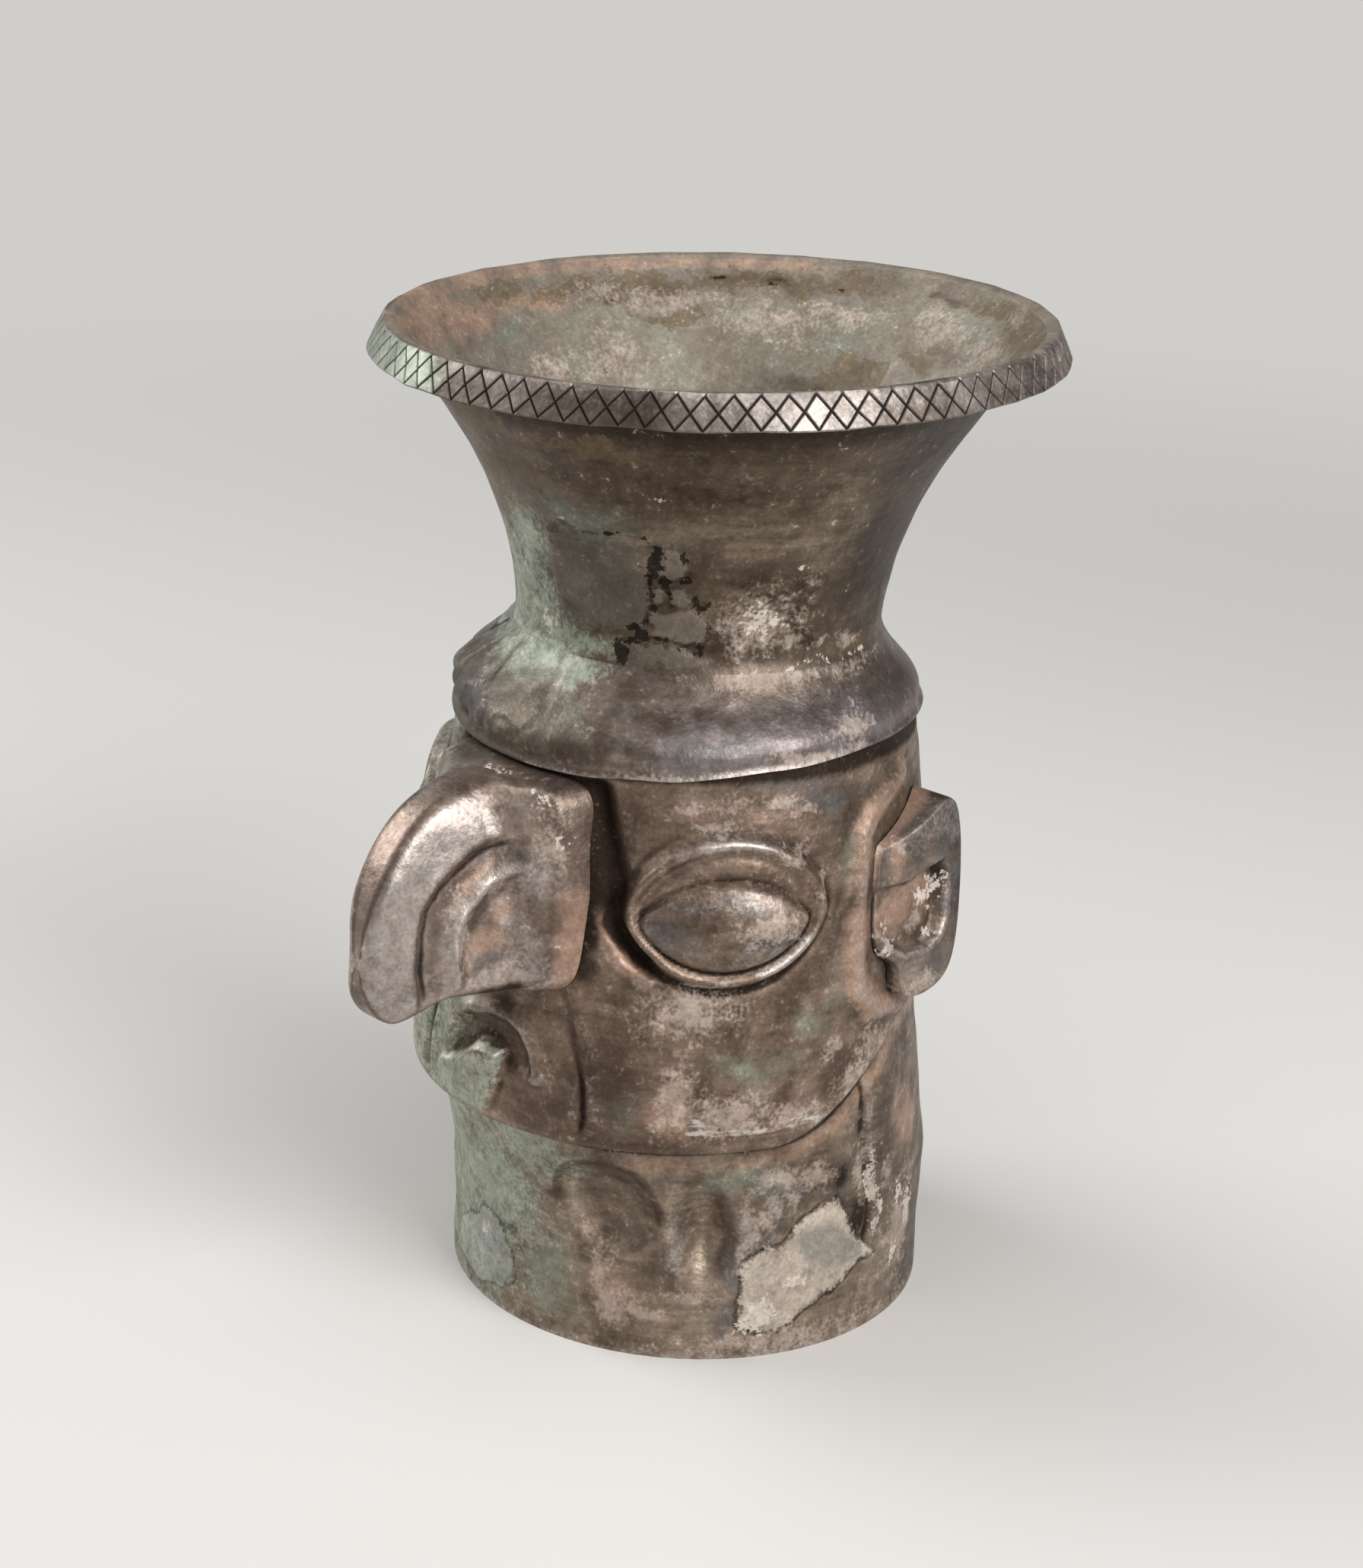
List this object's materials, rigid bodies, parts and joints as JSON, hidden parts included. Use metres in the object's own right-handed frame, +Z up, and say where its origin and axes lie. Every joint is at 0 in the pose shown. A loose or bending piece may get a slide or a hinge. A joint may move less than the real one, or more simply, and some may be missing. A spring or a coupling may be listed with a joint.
{
  "type": "kero cup",
  "caption": "Hammered silver kero: a flared drinking beaker raised as a face, with a hooked nose, raised eyes and ears, a lapped brow and jaw, a round foot and a cross-hatched rim band.",
  "frame": {"origin": "middle of the foot's underside", "axes": "+Z up the cup's axis, -Y out of the face's front, +X towards the figure's left ear"},
  "size_m": [0.1342, 0.1554, 0.2001],
  "materials": {
    "silver_floor": "dull tarnished silver sheet",
    "silver_foot": "hammered silver with brown tarnish, green corrosion and pale crust",
    "silver_face": "hammered silver with brown tarnish",
    "silver_nose": "worn silver, bright on the ridge",
    "silver_ear": "hammered silver with coppery edges",
    "silver_shoulder": "smooth worn silver, greenish on one side",
    "silver_neck": "olive-brown tarnish with grey fills",
    "silver_rim": "polished band with chased cross-hatching"
  },
  "bodies": {
    "root": {"foot_floor": "silver_floor", "foot_wall": "silver_foot", "face_shell": "silver_face", "nose": "silver_nose", "left_ear": "silver_ear", "right_ear": "silver_ear", "shoulder_collar": "silver_shoulder", "neck_flare": "silver_neck", "rim_band": "silver_rim"}
  },
  "joints": []
}
